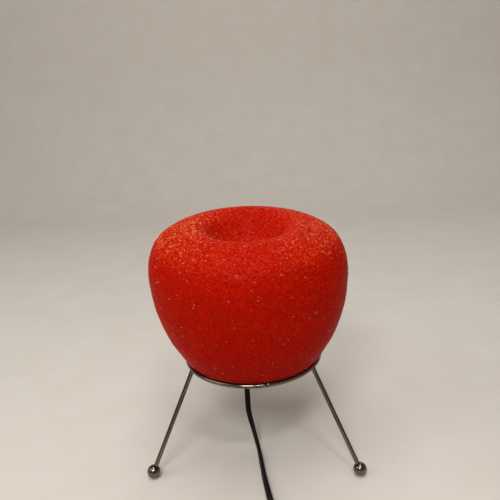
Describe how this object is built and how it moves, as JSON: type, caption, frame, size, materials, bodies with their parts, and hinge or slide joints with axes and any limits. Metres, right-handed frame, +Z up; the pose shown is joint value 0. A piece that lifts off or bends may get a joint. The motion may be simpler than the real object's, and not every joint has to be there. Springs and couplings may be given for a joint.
{
  "type": "tomato-shaped table lamp",
  "caption": "Small table lamp: a hollow tomato-shaped shade of bonded red granules seated in the ring of a chrome wire tripod with ball feet.",
  "frame": {"origin": "on the surface the lamp stands on, under the middle of its footprint without the flex", "axes": "+Z up, -Y towards the front where the flex leaves, +X to the right seen from the front"},
  "size_m": [0.1991, 0.3692, 0.2257],
  "materials": {
    "granules": "bonded clear red granules, glossy grains",
    "chrome": "polished chrome plate",
    "zinc": "zinc-plated steel",
    "phenolic": "moulded black phenolic",
    "brass": "bright brass",
    "tin": "bright nickel",
    "tungsten": "drawn tungsten wire",
    "glass": "clear glass",
    "black_glass": "black vitrite glass",
    "black_plastic": "moulded black plastic",
    "flex": "smooth black PVC sheath",
    "strap": "black woven strap"
  },
  "bodies": {
    "stand": {"stand_ring": "chrome", "leg_left": "chrome", "leg_right": "chrome", "leg_rear": "chrome", "foot_ball_left": "chrome", "foot_ball_right": "chrome", "foot_ball_rear": "chrome", "holder_bracket": "zinc", "holder_nipple": "zinc", "nipple_nut": "zinc", "nipple_washer": "zinc", "switch_screw_1": "zinc", "switch_screw_2": "zinc", "holder_cap": "phenolic", "holder_sleeve": "phenolic", "holder_insert": "phenolic", "holder_shell": "brass", "holder_contact": "brass", "holder_screw_1": "brass", "holder_screw_2": "brass", "switch_terminal_1": "brass", "switch_terminal_2": "brass", "plug_pin_1": "tin", "plug_pin_2": "tin", "cord_relief": "black_plastic", "switch_lower": "black_plastic", "switch_upper": "black_plastic", "plug_body": "black_plastic", "plug_sleeve_1": "black_plastic", "plug_sleeve_2": "black_plastic", "cord_lead": "flex", "cord_tail": "flex", "cord_end": "flex", "cord_coil": "flex", "coil_tie": "strap"},
    "shade": {"shade_shell": "granules"},
    "bulb": {"bulb_glass": "glass", "bulb_cap": "brass", "bulb_insulator": "black_glass", "bulb_contact": "tin", "bulb_stem": "glass", "bulb_support_1": "tin", "bulb_support_2": "tin", "bulb_filament": "tungsten"},
    "rocker": {"switch_rocker": "black_plastic"}
  },
  "joints": [
    {"name": "shade_lift", "type": "slide", "parent": "stand", "child": "shade", "axis": [0, 0, 1], "range_m": [0, 0.1]},
    {"name": "bulb_turn", "type": "hinge", "parent": "stand", "child": "bulb", "pos_m": [0, -0.0122, 0.125], "axis": [0, 0, 1], "range_deg": [0, 900]},
    {"name": "rocker_tilt", "type": "hinge", "parent": "stand", "child": "rocker", "pos_m": [0.0175, -0.1592, 0.014], "axis": [1, 0, 0], "range_deg": [0, 15]}
  ]
}
